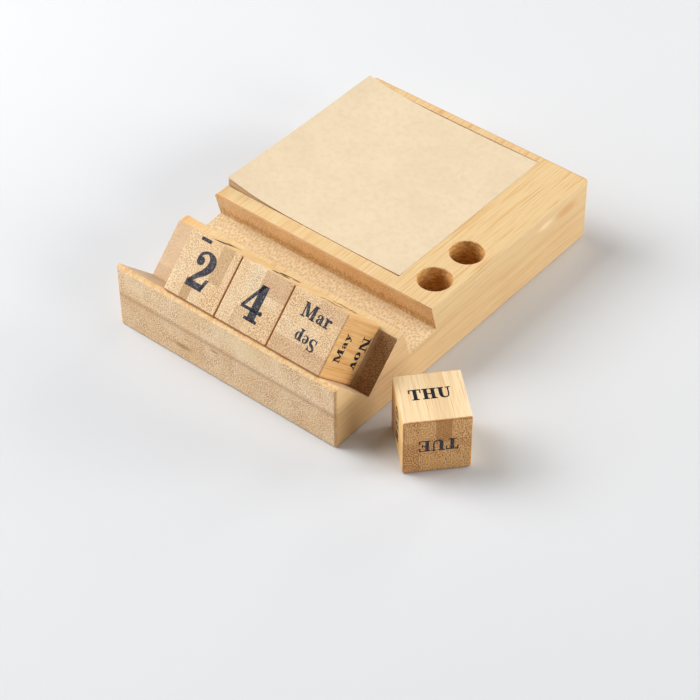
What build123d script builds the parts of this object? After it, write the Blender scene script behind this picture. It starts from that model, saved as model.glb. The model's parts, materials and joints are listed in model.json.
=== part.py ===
from build123d import *
import math
import os

os.makedirs("parts", exist_ok=True)

# Desk organiser with a block calendar. X runs along the front, Y from front to back, Z up.
# Positions are measured from the front left corner of the footprint, on the table top.
# Each finished piece is then moved so that the origin is the middle of that footprint.

# Bamboo block: two laminated boards glued face to face, the upper one a little thinner.
WIDTH = 100.0
DEPTH = 144.4
LOWER_BOARD = 14.7
UPPER_BOARD = 12.1
HEIGHT = LOWER_BOARD + UPPER_BOARD
OUTER_ROUND = 1.0
FOOT_ROUND = 0.8
LIP_BEVEL = 0.9

# V groove for the calendar cubes, both walls at 45 degrees.
VEE_Y = 17.4
VEE_Z = 11.2
LIP_BACK_Y = VEE_Y - (HEIGHT - VEE_Z)
RIDGE_FRONT_Y = VEE_Y + (HEIGHT - VEE_Z)
VEE_HALF_AT_GLUE = LOWER_BOARD - VEE_Z

# Phone slot: a channel with parallel walls that lean back towards the groove. Its front corner is on
# the glue line and its floor rises a little towards the back.
SLOT_LEAN = 14.8
SLOT_FLOOR_DEPTH = 14.2
SLOT_FLOOR_RISE = 1.6
SLOT_FRONT_Y = 40.1
SLOT_BACK_Y = SLOT_FRONT_Y + SLOT_FLOOR_DEPTH
SLOT_BACK_Z = LOWER_BOARD + SLOT_FLOOR_RISE
RIDGE_BACK_Y = SLOT_FRONT_Y - UPPER_BOARD * math.tan(math.radians(SLOT_LEAN))
DECK_FRONT_Y = SLOT_BACK_Y - (HEIGHT - SLOT_BACK_Z) * math.tan(math.radians(SLOT_LEAN))

# Memo recess, open at the left end.
RECESS_RIGHT_X = 80.1
RECESS_FRONT_Y = 58.2
RECESS_BACK_Y = 140.8
RECESS_FLOOR_Z = 16.6

# Pen holes, blind, bored through the deck into the lower board.
PEN_RADIUS = 6.25
PEN_X = 90.7
PEN_YS = (65.1, 83.5)
PEN_FLOOR_Z = 4.7

# Calendar cubes.
CUBE = 23.3
CUBE_ROUND = 0.6
CUBE_PITCH = 23.45
CUBE_FIRST_X = 21.7
WALL_GAP = 0.05

# Weekday cube, standing on the table beside the block.
WEEKDAY_CORNER = (124.7, 4.9)
WEEKDAY_TURN = 47.9

# Memo pad: kraft sheets on a card, gummed along the right edge, loose and swollen at the left.
PAD_LEFT_X = 0.3
PAD_RIGHT_X = 79.8
PAD_FRONT_Y = 58.7
PAD_BACK_Y = 140.3
CARD_THICK = 0.8
GUM_THICK = 0.4
NOTE_THICK = 0.15
NOTE_GAP = 0.05
# Height of the pad's top face above the deck, from the left edge to the gummed edge.
PAD_SWELL = ((0.0, 2.9), (6.0, 1.85), (13.0, 0.9), (22.0, 0.2), (34.0, -0.2), (56.0, -0.4), (79.1, -0.4))


def pad_curve(drop):
    """Points of the pad's swollen top face, lowered by drop, in the XZ plane."""
    return [(PAD_LEFT_X + along, HEIGHT + rise - drop) for along, rise in PAD_SWELL]


def outer_edges(part, x_planes, y_planes, low, high):
    """Upright edges standing on the given outside planes between two heights."""
    chosen = []
    for edge in part.edges().filter_by(Axis.Z):
        middle = edge.center()
        on_x = any(abs(middle.X - x) < 0.01 for x in x_planes)
        on_y = any(abs(middle.Y - y) < 0.01 for y in y_planes)
        if on_x and on_y and low - 0.01 <= middle.Z <= high + 0.01:
            chosen.append(edge)
    return chosen


def save(part, name):
    """Centre one finished piece on the footprint and write it as its own node."""
    centred = part.moved(Location((-WIDTH / 2, -DEPTH / 2, 0)))
    centred.label = name
    export_step(centred, f"parts/{name}.step")


# Lower board, with the bottom of the V groove and the blind ends of the pen holes.
with BuildPart() as lower_board:
    with BuildSketch(Plane.YZ):
        with BuildLine():
            Polyline(
                (0, 0),
                (DEPTH, 0),
                (DEPTH, LOWER_BOARD),
                (VEE_Y + VEE_HALF_AT_GLUE, LOWER_BOARD),
                (VEE_Y, VEE_Z),
                (VEE_Y - VEE_HALF_AT_GLUE, LOWER_BOARD),
                (0, LOWER_BOARD),
                close=True,
            )
        make_face()
    extrude(amount=WIDTH)
    fillet(outer_edges(lower_board.part, (0, WIDTH), (0, DEPTH), 0, LOWER_BOARD), OUTER_ROUND)
    fillet(lower_board.faces().sort_by(Axis.Z)[0].edges(), FOOT_ROUND)
    with BuildSketch(Plane.XY.offset(PEN_FLOOR_Z)):
        with Locations(*[(PEN_X, y) for y in PEN_YS]):
            Circle(PEN_RADIUS)
    extrude(amount=LOWER_BOARD - PEN_FLOOR_Z + 1, mode=Mode.SUBTRACT)
save(lower_board.part, "lower_board")

# Front lip: the narrow bevelled rail that stops the cubes sliding forward.
with BuildPart() as front_lip:
    with BuildSketch(Plane.YZ):
        with BuildLine():
            Polyline(
                (0, LOWER_BOARD),
                (VEE_Y - VEE_HALF_AT_GLUE, LOWER_BOARD),
                (LIP_BACK_Y, HEIGHT),
                (LIP_BEVEL, HEIGHT),
                (0, HEIGHT - LIP_BEVEL),
                close=True,
            )
        make_face()
    extrude(amount=WIDTH)
    fillet(outer_edges(front_lip.part, (0, WIDTH), (0,), LOWER_BOARD, HEIGHT), OUTER_ROUND)
    fillet(front_lip.faces().sort_by(Axis.Z)[-1].edges().filter_by(Axis.X), 0.3)
save(front_lip.part, "front_lip")

# Ridge between the V groove and the phone slot, its edges worn round.
with BuildPart() as ridge_rail:
    with BuildSketch(Plane.YZ):
        with BuildLine():
            Polyline(
                (VEE_Y + VEE_HALF_AT_GLUE, LOWER_BOARD),
                (SLOT_FRONT_Y, LOWER_BOARD),
                (RIDGE_BACK_Y, HEIGHT),
                (RIDGE_FRONT_Y, HEIGHT),
                close=True,
            )
        make_face()
    extrude(amount=WIDTH)
    top_edges = ridge_rail.faces().sort_by(Axis.Z)[-1].edges()
    fillet(top_edges.filter_by(Axis.X).sort_by(Axis.Y)[-1], 1.2)
    fillet(ridge_rail.faces().sort_by(Axis.Z)[-1].edges(), 0.7)
save(ridge_rail.part, "ridge_rail")

# Rear deck: slot floor and back wall, memo recess and pen holes.
with BuildPart() as rear_deck:
    with BuildSketch(Plane.YZ):
        with BuildLine():
            Polyline(
                (SLOT_FRONT_Y, LOWER_BOARD),
                (DEPTH, LOWER_BOARD),
                (DEPTH, HEIGHT),
                (DECK_FRONT_Y, HEIGHT),
                (SLOT_BACK_Y, SLOT_BACK_Z),
                close=True,
            )
        make_face()
    extrude(amount=WIDTH)
    fillet(outer_edges(rear_deck.part, (0, WIDTH), (DEPTH,), LOWER_BOARD, HEIGHT), OUTER_ROUND)
    fillet(rear_deck.faces().sort_by(Axis.Z)[-1].edges(), 0.8)
    with BuildSketch(Plane.XY.offset(RECESS_FLOOR_Z)):
        with Locations((RECESS_RIGHT_X / 2 - 5, (RECESS_FRONT_Y + RECESS_BACK_Y) / 2)):
            Rectangle(RECESS_RIGHT_X + 10, RECESS_BACK_Y - RECESS_FRONT_Y)
    extrude(amount=HEIGHT, mode=Mode.SUBTRACT)
    with BuildSketch(Plane.XY):
        with Locations(*[(PEN_X, y) for y in PEN_YS]):
            Circle(PEN_RADIUS)
    extrude(amount=HEIGHT + 1, mode=Mode.SUBTRACT)
    rims = rear_deck.edges().filter_by(GeomType.CIRCLE).filter_by(
        lambda edge: abs(edge.radius - PEN_RADIUS) < 0.01 and edge.center().Z > HEIGHT - 0.1
    )
    fillet(rims, 0.5)

# The deck's bamboo strips run front to back; it is divided at the glue line beside the recess.
for strip_name, kept_side in (("deck_left", Keep.BOTTOM), ("deck_right", Keep.TOP)):
    with BuildPart() as deck_strip:
        add(rear_deck.part)
        split(bisect_by=Plane.YZ.offset(RECESS_RIGHT_X), keep=kept_side)
    save(deck_strip.part, strip_name)

# Three cubes lying cornerwise in the V groove, the lowest edge along the groove bottom.
cube_middle_z = VEE_Z + (CUBE / 2 + WALL_GAP) * math.sqrt(2)
for index, cube_name in enumerate(("day_tens_cube", "day_units_cube", "month_cube")):
    cube_middle_x = CUBE_FIRST_X + CUBE_PITCH * index + CUBE / 2
    with BuildPart() as groove_cube:
        with Locations(Location((cube_middle_x, VEE_Y, cube_middle_z), (45, 0, 0))):
            Box(CUBE, CUBE, CUBE)
        fillet(groove_cube.edges(), CUBE_ROUND)
    save(groove_cube.part, cube_name)

# Weekday cube, the same size, standing flat on the table and turned.
turn = math.radians(WEEKDAY_TURN)
weekday_x = WEEKDAY_CORNER[0] + CUBE / 2 * (math.cos(turn) - math.sin(turn))
weekday_y = WEEKDAY_CORNER[1] + CUBE / 2 * (math.sin(turn) + math.cos(turn))
with BuildPart() as weekday_cube:
    with Locations(Location((weekday_x, weekday_y, CUBE / 2), (0, 0, WEEKDAY_TURN))):
        Box(CUBE, CUBE, CUBE)
    fillet(weekday_cube.edges(), CUBE_ROUND)
save(weekday_cube.part, "weekday_cube")

# Backing card under the sheets.
with BuildPart() as memo_card:
    with BuildSketch(Plane.XY.offset(RECESS_FLOOR_Z)):
        with Locations(((PAD_LEFT_X + PAD_RIGHT_X) / 2, (PAD_FRONT_Y + PAD_BACK_Y) / 2)):
            Rectangle(PAD_RIGHT_X - PAD_LEFT_X, PAD_BACK_Y - PAD_FRONT_Y)
    extrude(amount=CARD_THICK)
save(memo_card.part, "memo_card")

# The stack of sheets, thicker where they have sprung apart at the left edge.
sheet_right_x = PAD_RIGHT_X - GUM_THICK
sheet_bottom_z = RECESS_FLOOR_Z + CARD_THICK
stack_drop = NOTE_THICK + NOTE_GAP
with BuildPart() as memo_stack:
    with BuildSketch(Plane.XZ.offset(-PAD_FRONT_Y)):
        with BuildLine():
            top = Spline(*pad_curve(stack_drop))
            Polyline(
                top @ 1,
                (sheet_right_x, sheet_bottom_z),
                (PAD_LEFT_X, sheet_bottom_z),
                top @ 0,
            )
        make_face()
    extrude(amount=-(PAD_BACK_Y - PAD_FRONT_Y))
save(memo_stack.part, "memo_stack")

# Gum padding that binds the right edge.
gum_top_z = HEIGHT + PAD_SWELL[-1][1] - stack_drop
with BuildPart() as memo_gum:
    with BuildSketch(Plane.XY.offset(sheet_bottom_z)):
        with Locations((PAD_RIGHT_X - GUM_THICK / 2, (PAD_FRONT_Y + PAD_BACK_Y) / 2)):
            Rectangle(GUM_THICK, PAD_BACK_Y - PAD_FRONT_Y)
    extrude(amount=gum_top_z - sheet_bottom_z)
save(memo_gum.part, "memo_gum")

# Top sheet, the next one to be torn off.
with BuildPart() as top_note:
    with BuildSketch(Plane.XZ.offset(-PAD_FRONT_Y)):
        with BuildLine():
            upper = Spline(*pad_curve(0))
            lower = Spline(*pad_curve(NOTE_THICK))
            Line(upper @ 0, lower @ 0)
            Line(upper @ 1, lower @ 1)
        make_face()
    extrude(amount=-(PAD_BACK_Y - PAD_FRONT_Y))
save(top_note.part, "top_note")
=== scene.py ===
"""Looks of the bamboo desk organiser with calendar cubes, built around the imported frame."""

import json
import math
import random
from collections import namedtuple

import bmesh
import bpy
from mathutils import Euler, Matrix, Vector


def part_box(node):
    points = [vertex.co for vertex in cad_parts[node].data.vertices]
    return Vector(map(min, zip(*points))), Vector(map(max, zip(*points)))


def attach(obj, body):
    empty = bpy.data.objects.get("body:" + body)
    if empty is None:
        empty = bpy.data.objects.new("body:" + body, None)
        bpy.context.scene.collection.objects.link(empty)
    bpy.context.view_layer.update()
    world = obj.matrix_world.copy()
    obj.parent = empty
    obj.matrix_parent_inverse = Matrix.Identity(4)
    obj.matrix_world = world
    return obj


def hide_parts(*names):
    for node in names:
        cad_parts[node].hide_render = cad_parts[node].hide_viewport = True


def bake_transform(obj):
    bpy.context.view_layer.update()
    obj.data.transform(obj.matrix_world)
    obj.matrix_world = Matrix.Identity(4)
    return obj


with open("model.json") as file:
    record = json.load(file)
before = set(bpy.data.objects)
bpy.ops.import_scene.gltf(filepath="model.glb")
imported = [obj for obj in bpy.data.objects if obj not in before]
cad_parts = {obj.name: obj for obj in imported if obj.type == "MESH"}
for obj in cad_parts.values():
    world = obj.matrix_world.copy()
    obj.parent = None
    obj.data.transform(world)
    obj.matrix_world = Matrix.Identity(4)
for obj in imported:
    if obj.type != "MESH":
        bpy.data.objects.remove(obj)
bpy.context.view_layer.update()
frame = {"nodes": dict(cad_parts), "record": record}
nodes = frame["nodes"]
scene = bpy.context.scene
MM = 0.001


# ---------------------------------------------------------------- node graphs
def colour(red, green, blue):
    """Linear colour from 0-255 display values."""
    linear = []
    for value in (red, green, blue):
        value /= 255
        linear.append(value / 12.92 if value <= 0.04045 else ((value + 0.055) / 1.055) ** 2.4)
    return (*linear, 1.0)


class Graph:
    """A material's node tree, with short calls for the nodes used here."""

    def __init__(self, name):
        self.material = bpy.data.materials.new(name)
        self.material.use_nodes = True
        self.tree = self.material.node_tree
        self.tree.nodes.clear()
        self.output = self.node("ShaderNodeOutputMaterial")
        self.shader = self.node("ShaderNodeBsdfPrincipled")
        self.tree.links.new(self.shader.outputs[0], self.output.inputs["Surface"])

    def node(self, kind, **settings):
        made = self.tree.nodes.new(kind)
        for key, value in settings.items():
            setattr(made, key, value)
        return made

    def put(self, socket, value):
        if isinstance(value, bpy.types.NodeSocket):
            self.tree.links.new(value, socket)
        else:
            socket.default_value = value

    def math(self, operation, first, second=0.0, third=0.0):
        made = self.node("ShaderNodeMath", operation=operation)
        for socket, value in zip(made.inputs, (first, second, third)):
            self.put(socket, value)
        return made.outputs[0]

    def vector(self, operation, first, second=(0, 0, 0)):
        made = self.node("ShaderNodeVectorMath", operation=operation)
        self.put(made.inputs[0], first)
        self.put(made.inputs[1], second)
        return made.outputs["Value" if operation in ("DOT_PRODUCT", "LENGTH") else "Vector"]

    def product(self, first, *others):
        for other in others:
            first = self.math("MULTIPLY", first, other)
        return first

    def millimetres(self, position):
        return self.vector("MULTIPLY", position, (1 / MM, 1 / MM, 1 / MM))

    def split(self, value):
        made = self.node("ShaderNodeSeparateXYZ")
        self.put(made.inputs[0], value)
        return made.outputs

    def join(self, x, y, z):
        made = self.node("ShaderNodeCombineXYZ")
        for socket, value in zip(made.inputs, (x, y, z)):
            self.put(socket, value)
        return made.outputs[0]

    def noise(self, where, scale, detail=3.0, rough=0.5):
        made = self.node("ShaderNodeTexNoise")
        self.put(made.inputs["Vector"], where)
        self.put(made.inputs["Scale"], scale)
        self.put(made.inputs["Detail"], detail)
        self.put(made.inputs["Roughness"], rough)
        return made.outputs["Fac"]

    def voronoi(self, where, scale, randomness=0.9):
        made = self.node("ShaderNodeTexVoronoi", voronoi_dimensions="2D")
        self.put(made.inputs["Vector"], where)
        self.put(made.inputs["Scale"], scale)
        self.put(made.inputs["Randomness"], randomness)
        return made.outputs["Distance"]

    def white(self, where):
        made = self.node("ShaderNodeTexWhiteNoise", noise_dimensions="3D")
        self.put(made.inputs["Vector"], where)
        return made.outputs["Value"]

    def ramp(self, value, low, high, start=0.0, end=1.0):
        """value mapped smoothly from low..high to start..end, and clamped."""
        made = self.node("ShaderNodeMapRange", interpolation_type="SMOOTHSTEP")
        for socket, number in zip(made.inputs, (value, low, high, start, end)):
            self.put(socket, number)
        return made.outputs[0]

    def mix(self, amount, first, second, blend="MIX"):
        made = self.node("ShaderNodeMix", data_type="RGBA", blend_type=blend)
        self.put(made.inputs["Factor"], amount)
        self.put(made.inputs["A"], first)
        self.put(made.inputs["B"], second)
        return made.outputs["Result"]

    def tint(self, base, tone):
        """base multiplied by an opaque tone."""
        return self.mix(1.0, base, (*tone, 1.0), "MULTIPLY")

    def bump(self, height, strength, distance):
        made = self.node("ShaderNodeBump")
        self.put(made.inputs["Height"], height)
        self.put(made.inputs["Strength"], strength)
        self.put(made.inputs["Distance"], distance)
        self.put(self.shader.inputs["Normal"], made.outputs[0])


# -------------------------------------------------------------------- bamboo
LONG_PALE, LONG_WARM, LONG_LINE = colour(242, 213, 164), colour(235, 196, 140), colour(214, 154, 84)
END_PALE, END_WARM, END_SPOT = colour(254, 227, 186), colour(244, 206, 156), colour(160, 98, 52)
SLOT_PALE, SLOT_WARM = colour(232, 214, 178), colour(216, 184, 136)
GLUE, WORN_AND_SEAM_SHADE = colour(172, 120, 80), colour(188, 118, 56)
UNTONED = (1.0, 1.0, 1.0)

Edge = namedtuple("Edge", "centre half amount width side_scale")
Slot = namedtuple("Slot", "front back floor")

# Where the painted shadow of the month cube on the groove's rear wall starts and turns full, towards the
# right, in mm.
SHADOW_START, SHADOW_FULL = 41.0, 44.0


class Bamboo(Graph):
    """Laminated bamboo in the piece's own frame, in millimetres. Fibres run along one of its axes."""

    def __init__(self, name, centre, turn, fibre):
        super().__init__(name)
        rotation = [math.radians(angle) for angle in turn]
        texture = self.node("ShaderNodeTexCoord")
        place = self.node("ShaderNodeMapping", vector_type="TEXTURE")
        self.put(place.inputs["Vector"], texture.outputs["Object"])
        self.put(place.inputs["Location"], centre)
        self.put(place.inputs["Rotation"], rotation)
        facing = self.node("ShaderNodeMapping", vector_type="TEXTURE")
        self.put(facing.inputs["Vector"], texture.outputs["Normal"])
        self.put(facing.inputs["Rotation"], rotation)
        self.x, self.y, self.z = self.split(self.millimetres(place.outputs[0]))
        self.normal = self.split(facing.outputs[0])
        self.across, self.upward, self.along, fibre_facing = {
            "Y": (self.x, self.z, self.y, self.normal[1]),
            "Z": (self.x, self.y, self.z, self.normal[2]),
            "Z turned": (self.y, self.x, self.z, self.normal[2]),
        }[fibre]
        self.end_facing = self.math("ABSOLUTE", fibre_facing)
        self.end = self.ramp(self.end_facing, 0.15, 0.75)

    def band(self, value, rising, falling):
        """1 between two soft limits, each given as (start, end), and 0 outside them."""
        return self.product(self.ramp(value, *rising), self.ramp(value, *falling, 1.0, 0.0))

    def find_strips(self, strip, plane, seed):
        """Rows are stacked plies; columns lie side by side and are staggered from row to row."""
        width, height = strip
        row = self.math("FLOOR", self.math("DIVIDE", self.math("SUBTRACT", self.upward, plane), height))
        stagger = self.white(self.join(row, seed, 3.1))
        column = self.math("FLOOR", self.math("ADD", self.math("DIVIDE", self.across, width), stagger))
        self.cell = self.white(self.join(column, row, seed))
        self.plane_gap = self.math("ABSOLUTE", self.math("SUBTRACT", self.upward, plane))
        self.drift = self.vector(
            "ADD", self.join(self.across, self.upward, self.product(self.along, 0.02)),
            self.join(self.product(self.cell, 31.0), self.product(row, 17.0), seed))

    def find_fibres(self, spot_scale, spot_gain):
        """Fibre bundles: close spots on end grain, long streaks on the sides."""
        bend = self.math("SUBTRACT", self.noise(self.drift, 0.13, 2.0), 0.5)
        bent = self.join(self.product(bend, 3.0), self.product(bend, 4.5), 0.0)
        flat = self.vector("ADD", self.drift, bent)
        self.bundle = self.ramp(self.voronoi(flat, spot_scale, 0.75), 0.05, 0.55, 1.0, 0.0)
        strength = self.ramp(self.noise(flat, 0.16, 3.0, 0.6), 0.3, 0.7, 0.4 * spot_gain, 0.85 * spot_gain)
        strength = self.product(strength, self.ramp(self.end_facing, 0.75, 0.95, 0.35, 1.0))
        self.stipple = self.product(self.bundle, strength)
        self.fine = self.noise(self.drift, 2.5, 3.0, 0.62)
        self.lines = self.noise(self.drift, 1.0, 3.0, 0.7)

    def long_wood(self, variety, grain, side_grain):
        broad = self.noise(self.drift, 0.17, 3.0, 0.55)
        clear = self.ramp(self.math("ABSOLUTE", self.normal[0]), 0.5, 0.9, 1.0, side_grain)
        wood = self.mix(self.ramp(self.cell, 0.1, 0.9, 0.0, variety), LONG_PALE, LONG_WARM)
        wood = self.mix(self.ramp(broad, 0.38, 0.66, 0.0, 0.5), wood, LONG_WARM)
        coarse_lines = self.product(self.ramp(self.lines, 0.5, 0.7, 0.0, grain * 0.7), clear)
        wood = self.mix(coarse_lines, wood, LONG_LINE)
        return self.mix(self.product(self.ramp(self.fine, 0.5, 0.7, 0.0, grain), clear), wood, LONG_LINE)

    def end_wood(self, variety):
        cloud_at = self.join(self.across, self.upward, self.product(self.along, 0.4))
        cloud = self.noise(cloud_at, 0.1, 3.0, 0.55)
        wood = self.mix(self.ramp(self.cell, 0.1, 0.9, 0.0, variety), END_PALE, END_WARM)
        return self.mix(self.ramp(cloud, 0.35, 0.68, 0.0, 0.6), wood, END_WARM)

    def within(self, value, low, high):
        off_centre = self.math("ABSOLUTE", self.math("SUBTRACT", value, (low + high) / 2))
        return self.math("LESS_THAN", off_centre, (high - low) / 2)

    def inlay(self, long_wood, end_wood, staves):
        """Single staves of another shade, each a rectangle across the fibres. The same rectangles also carry
        the painted shade in the cubes' seams.
        """
        for across, upward, shade, amount in staves:
            inside = self.product(
                self.within(self.across, *across), self.within(self.upward, *upward), amount)
            end_wood = self.mix(inside, end_wood, shade)
            long_wood = self.mix(self.product(inside, 0.25), long_wood, shade)
        return long_wood, end_wood

    def glue(self, wood, amount):
        """A soft band on the upright faces where two plies meet."""
        seam = self.math("ADD", self.plane_gap, self.product(self.fine, 0.5))
        seam = self.product(
            self.ramp(seam, 0.2, 2.2, amount, 0.0),
            self.math("ADD", self.product(self.end, 0.65), 0.35),
            self.ramp(self.math("ABSOLUTE", self.normal[2]), 0.3, 0.6, 1.0, 0.0))
        return self.mix(seam, wood, GLUE)

    def knots(self, wood, spots):
        """Patches of another tone, such as where a strip crosses a bamboo node."""
        ragged = self.product(self.math("SUBTRACT", self.fine, 0.5), 1.6)
        for place, reach, amount, shade in spots:
            offset = self.join(*(
                self.math("DIVIDE", self.math("SUBTRACT", value, at), size)
                for value, at, size in zip((self.x, self.y, self.z), place, reach)))
            distance = self.math("ADD", self.vector("LENGTH", offset), ragged)
            wood = self.mix(self.ramp(distance, 0.25, 1.1, amount, 0.0), wood, colour(*shade))
        return wood

    def sawn_slot(self, wood, slot):
        """The phone slot's furry floor and rear wall. Returns the wood and the nap's relief."""
        front, back, floor_at = slot
        on_floor = self.product(
            self.band(self.y, (front, front + 0.3), (back - 0.3, back)),
            self.ramp(self.z, floor_at, floor_at + 0.4, 1.0, 0.0), self.ramp(self.normal[2], 0.6, 0.85))
        on_wall = self.band(self.y, (back - 3.6, back - 3.1), (back + 1.0, back + 1.4))
        on_wall = self.product(on_wall, self.end)

        # Short torn fibres and pits on the floor.
        torn_at = self.join(self.x, self.product(self.y, 0.55), 0.0)
        pits = self.voronoi(
            self.vector("ADD", torn_at, self.join(self.product(self.fine, 1.2), 0.0, 0.0)), 1.05, 0.95)
        nap = self.noise(torn_at, 1.7, 4.0, 0.7)
        furry = self.mix(self.ramp(nap, 0.35, 0.65), SLOT_PALE, SLOT_WARM)
        furry = self.mix(self.product(self.ramp(pits, 0.1, 0.5, 1.0, 0.0), 0.42), furry, colour(176, 128, 78))
        wood = self.mix(on_floor, wood, furry)

        # Browner wall, darker and browner low down, with a jagged fringe of hairs above the floor.
        tan = self.mix(nap, colour(226, 182, 112), colour(172, 124, 64))
        wood = self.mix(self.product(on_wall, 0.36), wood, tan)
        fuzz = self.noise(self.join(self.x, self.product(self.z, 0.4), 4.0), 1.4, 4.0, 0.8)
        jagged = self.math("ADD", self.z, self.product(fuzz, 18.0))
        darker_low = self.product(self.ramp(jagged, floor_at + 10.6, floor_at + 13.0, 0.7, 0.0), on_wall)
        wood = self.mix(darker_low, wood, self.mix(nap, colour(194, 138, 60), colour(148, 94, 36)))
        hair = self.product(self.ramp(jagged, floor_at + 8.8, floor_at + 9.8, 1.0, 0.0), on_wall)
        wood = self.mix(hair, wood, furry)

        # Stain along the rim of the wall.
        rim = self.product(
            self.band(self.y, (back - 4.1, back - 3.6), (back - 2.2, back - 1.7)),
            self.ramp(self.z, floor_at + 8.6, floor_at + 9.4),
            self.ramp(self.product(self.normal[1], -1.0), 0.05, 0.3, 0.0, 0.5))
        return self.mix(rim, wood, colour(186, 126, 54)), self.product(nap, on_floor, 2.2)

    def groove_walls(self, wood, front):
        """The V groove's walls: both a little darker as painted shade, and a painted shadow of the month cube
        at the right end of the rear one.
        """
        sloping = self.product(
            self.ramp(self.math("ABSOLUTE", self.normal[1]), 0.5, 0.65),
            self.ramp(self.normal[2], 0.6, 0.68),
            self.ramp(self.y, 1.4 + front, 1.8 + front))
        painted_shadow = self.product(
            sloping, self.ramp(self.x, SHADOW_START, SHADOW_FULL),
            self.math("LESS_THAN", self.normal[1], 0.0))
        # Painted shade: both sloping walls a little darker.
        wood = self.mix(sloping, wood, self.tint(wood, (0.88, 0.88, 0.9)))
        # The tone of the painted shadow: darker, with stronger spots.
        scorched = self.mix(self.product(self.bundle, 0.85), (0.42, 0.31, 0.22, 1.0), (0.95, 0.75, 0.55, 1.0))
        return self.mix(painted_shadow, wood, self.mix(1.0, wood, scorched, "MULTIPLY"))

    def bore_walls(self, wood, bores):
        """Scorched walls of bored holes, with rings left by the drill."""
        for bore_x, bore_y, radius in bores:
            away = self.vector("LENGTH", self.join(
                self.math("SUBTRACT", self.x, bore_x), self.math("SUBTRACT", self.y, bore_y), 0.0))
            inside = self.ramp(away, radius + 0.02, radius + 0.4, 1.0, 0.0)
            rings_at = self.join(
                self.product(self.x, 0.5), self.product(self.y, 0.5), self.product(self.z, 1.6))
            rings = self.noise(rings_at, 1.3, 4.0, 0.75)
            scorched = self.ramp(rings, 0.35, 0.65)
            scorched = self.mix(scorched, colour(240, 194, 122), colour(178, 122, 66))
            wood = self.mix(inside, wood, scorched)
        return wood

    def wear(self, wood, edge, fibre_axis):
        """Darker corners around the end grain: wear on the block, and on the cubes in the groove partly
        painted shade in the seams between them.
        """
        gaps = [
            self.math("SUBTRACT", half, self.math("ABSOLUTE", self.math("SUBTRACT", value, at)))
            for value, at, half in zip((self.x, self.y, self.z), edge.centre, edge.half)]
        end_gap = gaps.pop("XYZ".index(fibre_axis))
        side_gap = self.math("MINIMUM", gaps[0], self.product(gaps[1], edge.side_scale))
        nearest = self.math("MAXIMUM", end_gap, side_gap)
        nearest = self.math("ADD", nearest, self.product(self.math("SUBTRACT", self.lines, 0.5), 1.1))
        # Partly painted shade: on the cubes in the groove this band stands for the shade in the seams.
        return self.mix(self.ramp(nearest, 0.0, edge.width, edge.amount, 0.0), wood, WORN_AND_SEAM_SHADE)

    def lip_bevel_grain_and_highlight(self, wood, front):
        """Streaks along the bevel at the block's front edge, lighter there as a painted highlight."""
        bevel = self.product(
            self.ramp(self.normal[2], 0.4, 0.6), self.ramp(self.y, 1.1 + front, 1.9 + front, 0.7, 0.0))
        streaks = self.mix(self.ramp(self.lines, 0.4, 0.6), colour(240, 206, 152), colour(224, 166, 96))
        return self.mix(bevel, wood, streaks)


def bamboo(name, centre=(0, 0, 0), turn=(0, 0, 0), fibre="Y", strip=(9.0, 13.7), plane=0.0, variety=0.4,
           seed=0.0, end_variety=1.0, long_tone=UNTONED, end_tone=UNTONED, grain=0.75, glue_line=0.42,
           spot_gain=1.0, spot_scale=1.5, face_tone=None, side_grain=1.0, edge=None, spots=(), staves=(),
           bores=(), slot=None):
    """Material of one piece of laminated bamboo.

    centre (metres), turn (degrees) and fibre place its own frame; "Z turned" swaps across and upward.
    strip is a strip's width and height, plane the height of the glue line between plies, and glue_line
    its strength. variety and end_variety are how far strips differ in shade. long_tone and end_tone
    multiply each kind of face, and face_tone is (axis, sign, tone) for the long wood on one side. grain
    is the streaks' strength, side_grain its share on faces along X. spot_gain and spot_scale set the end
    grain's spots. spots are knots (place, reach, amount, shade), staves (across, upward, shade, amount),
    bores (x, y, radius). A Slot needs an Edge, and adds the looks of the groove and bevel in front of it:
    painted shade on upward end grain and on the groove's walls, and a painted highlight on the bevel.
    """
    g = Bamboo(name, centre, turn, fibre)
    g.find_strips(strip, plane, seed)
    g.find_fibres(spot_scale, spot_gain)
    long_wood = g.long_wood(variety, grain, side_grain)
    end_wood = g.end_wood(variety * end_variety)
    long_wood, end_wood = g.inlay(long_wood, end_wood, staves)
    end_wood = g.mix(g.stipple, end_wood, END_SPOT)
    long_wood, end_wood = g.tint(long_wood, long_tone), g.tint(end_wood, end_tone)
    if face_tone:
        axis, sign, tone = face_tone
        towards = g.ramp(g.product(g.normal["XYZ".index(axis)], sign), 0.6, 0.9)
        long_wood = g.mix(towards, long_wood, g.tint(long_wood, tone))
    if slot:
        # Painted shade: end grain facing upward, mostly the groove's walls, is made darker.
        upward_shade = g.ramp(g.normal[2], 0.3, 0.65)
        end_wood = g.mix(upward_shade, end_wood, g.tint(end_wood, (0.8, 0.79, 0.8)))
    wood = g.glue(g.mix(g.end, long_wood, end_wood), glue_line)
    wood = g.knots(wood, spots)
    relief = g.math("ADD", g.product(g.bundle, g.end, -0.8), g.product(g.fine, 0.7))
    if slot:
        wood, nap_relief = g.sawn_slot(wood, slot)
        wood = g.groove_walls(wood, -edge.half[1])
        relief = g.math("ADD", relief, nap_relief)
    wood = g.bore_walls(wood, bores)
    if edge:
        wood = g.wear(wood, edge, fibre[0])
    if slot:
        # Painted highlight on the front bevel, with grain streaks.
        wood = g.lip_bevel_grain_and_highlight(wood, -edge.half[1])

    g.put(g.shader.inputs["Base Color"], wood)
    roughness = g.math("ADD", g.ramp(g.fine, 0.2, 0.9, 0.4, 0.56), g.product(g.end, 0.14))
    g.put(g.shader.inputs["Roughness"], roughness)
    g.shader.inputs["Specular IOR Level"].default_value = 0.3
    g.bump(relief, 0.4, 0.00012)
    return g.material


def dress(node, material):
    node.data.materials.clear()
    node.data.materials.append(material)


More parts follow.
